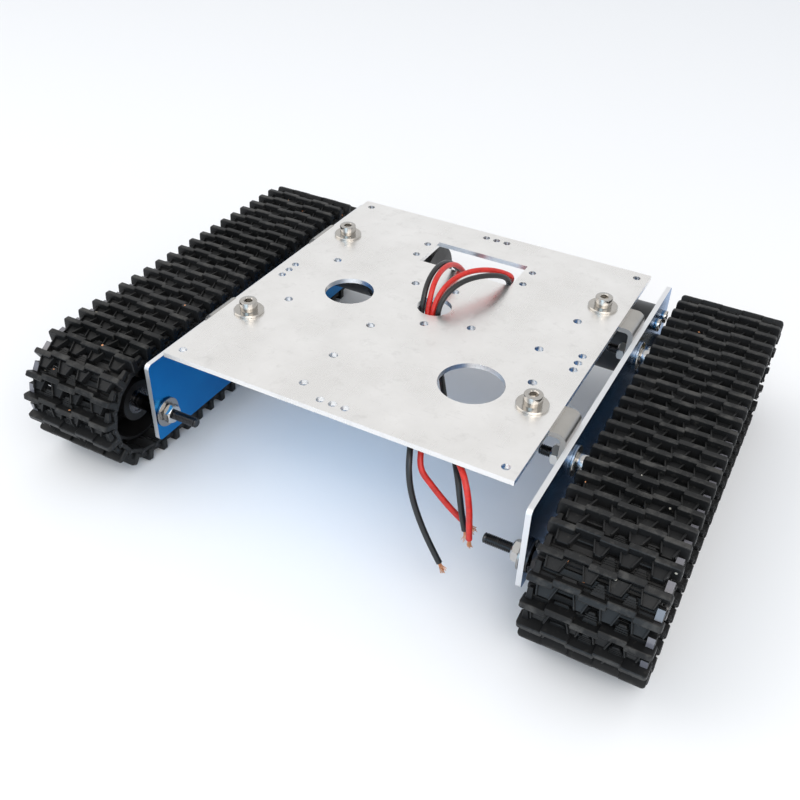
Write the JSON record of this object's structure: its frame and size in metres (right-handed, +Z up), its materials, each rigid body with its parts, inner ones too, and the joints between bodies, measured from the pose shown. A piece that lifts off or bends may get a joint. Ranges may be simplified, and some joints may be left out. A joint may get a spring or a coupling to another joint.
{
  "type": "tracked robot chassis",
  "caption": "Small tracked robot chassis: a bare drilled top plate on two blue side plates, a gearmotor and sprocket at the rear and an idler at the front inside each linked plastic track.",
  "frame": {"origin": "on the ground under the middle of the top plate, midway between the front and rear axles", "axes": "+X right, -Y the front, the idlers' end, +Z up"},
  "size_m": [0.252, 0.1951, 0.0686],
  "materials": {
    "deck_aluminium": "bare sheet, lightly mottled satin",
    "blue_anodised": "blue anodised sheet with bare cut edges",
    "bracket_grey": "satin sheet",
    "steel_bright": "polished stainless",
    "steel_black": "black oxide, lightly oiled",
    "zinc_nut": "bright zinc",
    "gearbox_case": "dark satin",
    "motor_steel": "black satin can",
    "cap_plastic": "moulded black",
    "tab_brass": "tinned tab",
    "shaft_steel": "ground",
    "coupler_brass": "turned",
    "wheel_plastic": "moulded black",
    "bearing_steel": "ground with steel shields",
    "track_plastic": "moulded black, slightly dusty",
    "pin_steel": "drawn wire",
    "lead_black": "soft insulation, half gloss",
    "lead_red": "soft insulation, half gloss",
    "copper_strand": "bare twisted strands"
  },
  "bodies": {
    "root": {"top_plate": "deck_aluminium", "deck_screws": "steel_bright", "deck_washers": "steel_bright", "deck_nuts": "zinc_nut", "bracket_front_left": "bracket_grey", "bracket_front_right": "bracket_grey", "bracket_rear_left": "bracket_grey", "bracket_rear_right": "bracket_grey", "side_plate_left": "blue_anodised", "side_plate_right": "blue_anodised", "bracket_bolts": "steel_black", "bracket_washers": "steel_bright", "bracket_nuts": "zinc_nut", "gearbox_left": "gearbox_case", "gearbox_right": "gearbox_case", "motor_can_left": "motor_steel", "motor_can_right": "motor_steel", "motor_end_cap_left": "cap_plastic", "motor_end_cap_right": "cap_plastic", "motor_terminals": "tab_brass", "gearbox_screws": "steel_bright", "axle_bolts": "steel_black", "axle_washers": "steel_bright", "axle_nuts": "zinc_nut", "axle_spacer_left": "zinc_nut", "axle_spacer_right": "zinc_nut", "track_links_left": "track_plastic", "track_links_right": "track_plastic", "track_pins_left": "pin_steel", "track_pins_right": "pin_steel", "lead_black_left": "lead_black", "tip_black_left": "copper_strand", "lead_red_left": "lead_red", "tip_red_left": "copper_strand", "lead_black_right": "lead_black", "tip_black_right": "copper_strand", "lead_red_right": "lead_red", "tip_red_right": "copper_strand"},
    "sprocket_left": {"output_shaft_left": "shaft_steel", "shaft_coupler_left": "coupler_brass", "coupler_set_screw_left": "steel_black", "drive_sprocket_left": "wheel_plastic", "sprocket_screw_left": "steel_bright", "sprocket_washer_left": "steel_bright"},
    "idler_left": {"idler_wheel_left": "wheel_plastic", "idler_bearings_left": "bearing_steel"},
    "sprocket_right": {"output_shaft_right": "shaft_steel", "shaft_coupler_right": "coupler_brass", "coupler_set_screw_right": "steel_black", "drive_sprocket_right": "wheel_plastic", "sprocket_screw_right": "steel_bright", "sprocket_washer_right": "steel_bright"},
    "idler_right": {"idler_wheel_right": "wheel_plastic", "idler_bearings_right": "bearing_steel"}
  },
  "joints": [
    {"name": "sprocket_left_spin", "type": "hinge", "parent": "root", "child": "sprocket_left", "pos_m": [-0.10475, 0.072, 0.026], "axis": [1, 0, 0], "continuous": true},
    {"name": "idler_left_spin", "type": "hinge", "parent": "root", "child": "idler_left", "pos_m": [-0.10475, -0.072, 0.026], "axis": [1, 0, 0], "continuous": true},
    {"name": "sprocket_right_spin", "type": "hinge", "parent": "root", "child": "sprocket_right", "pos_m": [0.10475, 0.072, 0.026], "axis": [1, 0, 0], "continuous": true},
    {"name": "idler_right_spin", "type": "hinge", "parent": "root", "child": "idler_right", "pos_m": [0.10475, -0.072, 0.026], "axis": [1, 0, 0], "continuous": true}
  ],
  "couplings": [
    {"joint": "idler_left_spin", "follows": "sprocket_left_spin", "ratio": 1},
    {"joint": "idler_right_spin", "follows": "sprocket_right_spin", "ratio": 1}
  ]
}
